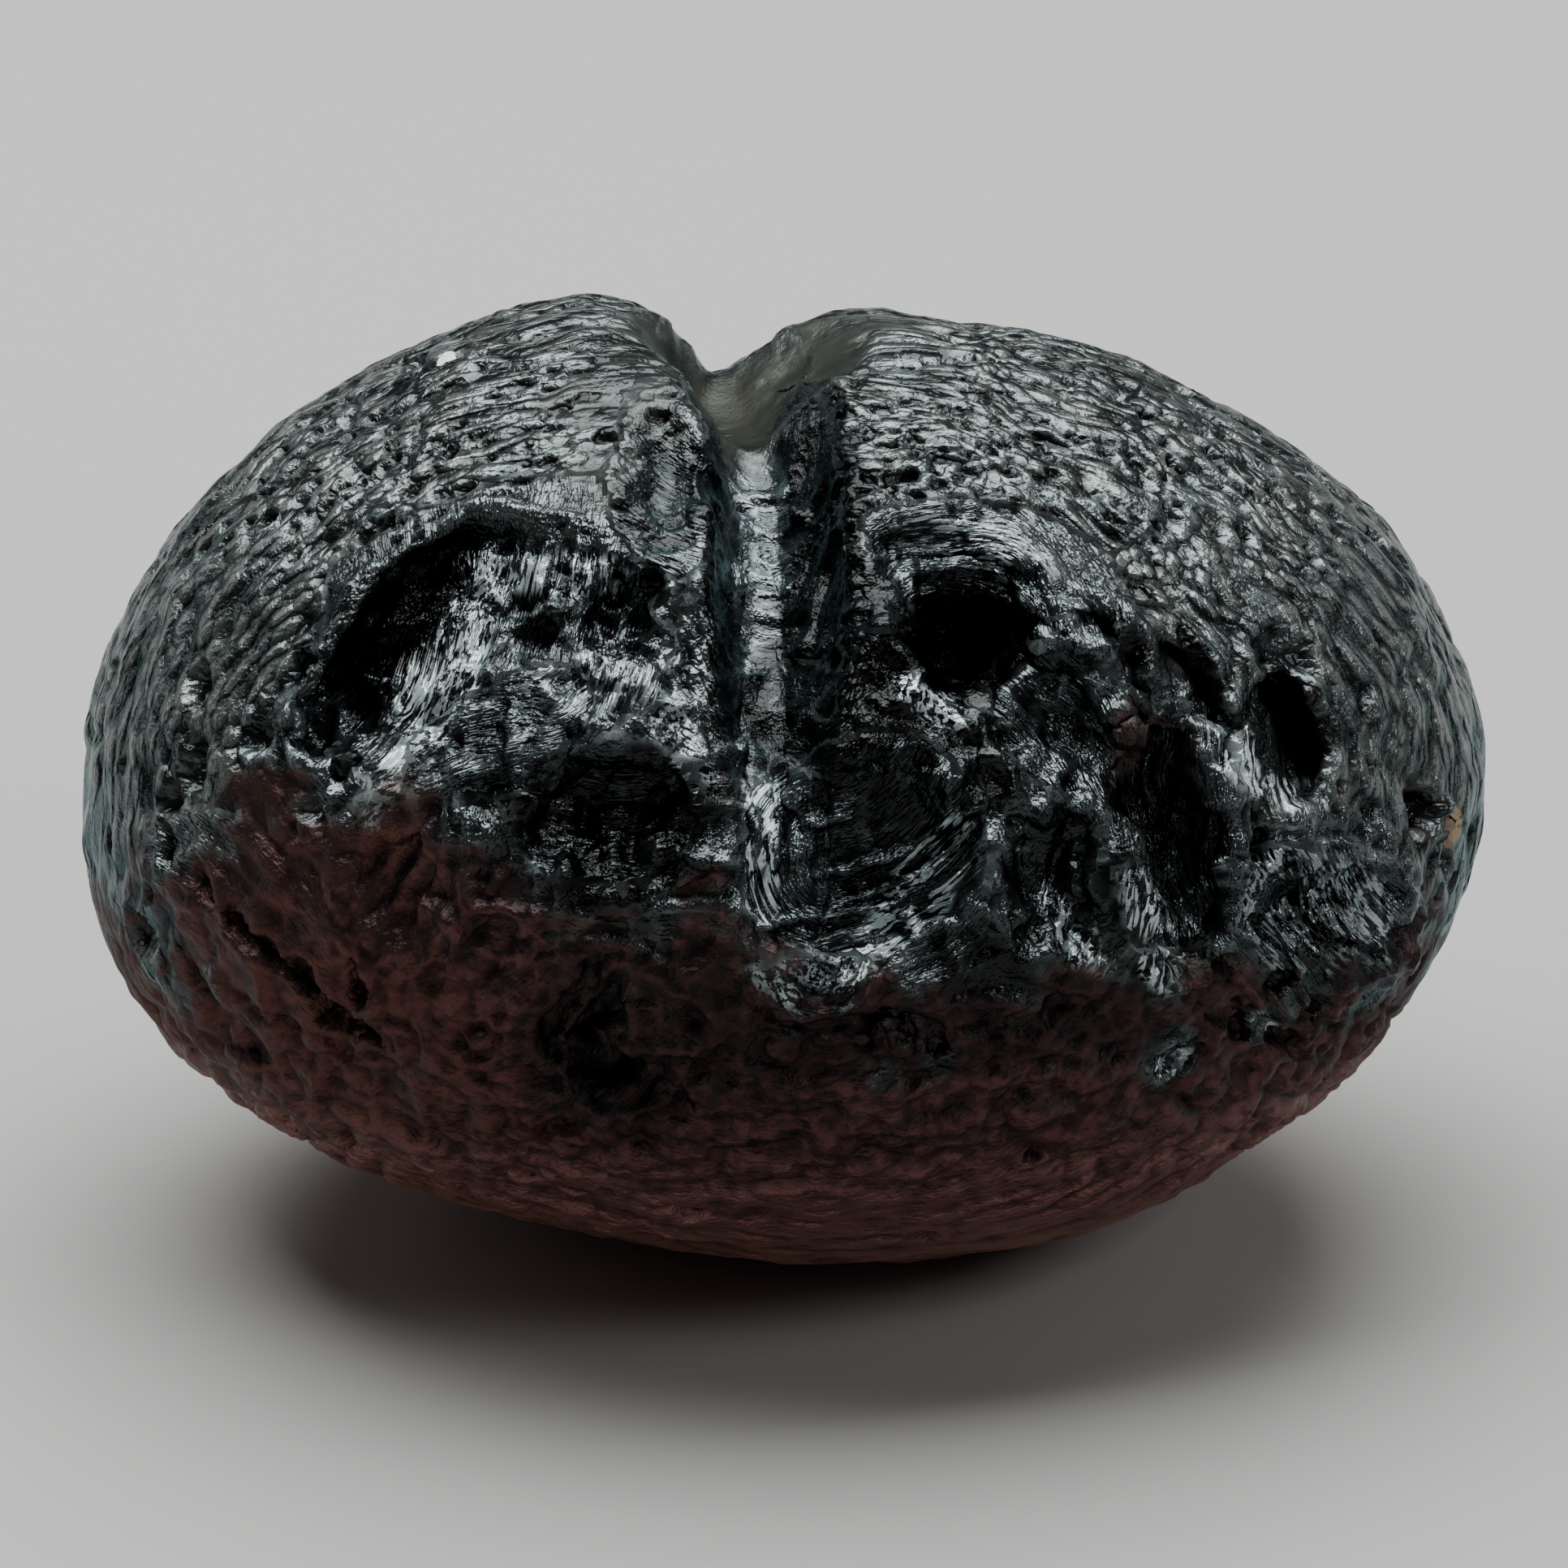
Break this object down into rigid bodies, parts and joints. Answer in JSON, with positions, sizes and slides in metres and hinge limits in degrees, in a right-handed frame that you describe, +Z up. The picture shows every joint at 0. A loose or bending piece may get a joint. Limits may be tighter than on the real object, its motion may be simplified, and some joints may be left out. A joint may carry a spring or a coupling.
{
  "type": "tektite",
  "caption": "Coffee-bean shaped lump of black natural glass with a deep groove over its face and top, scooped bowls, burst bubbles and a dimpled skin, lying on a worn flat spot.",
  "frame": {"origin": "on the worn flat spot that the stone lies on, under the middle of the stone", "axes": "+Z up from the flat spot, +X along the stone's length to the right of the groove, -Y out of the broad grooved face"},
  "size_m": [0.05, 0.0382, 0.0335],
  "materials": {
    "black_glass": "glossy black natural glass with a pitted, streaked skin, grey-green on the shoulders and stained red-brown underneath"
  },
  "bodies": {
    "root": {"tektite": "black_glass"}
  },
  "joints": []
}
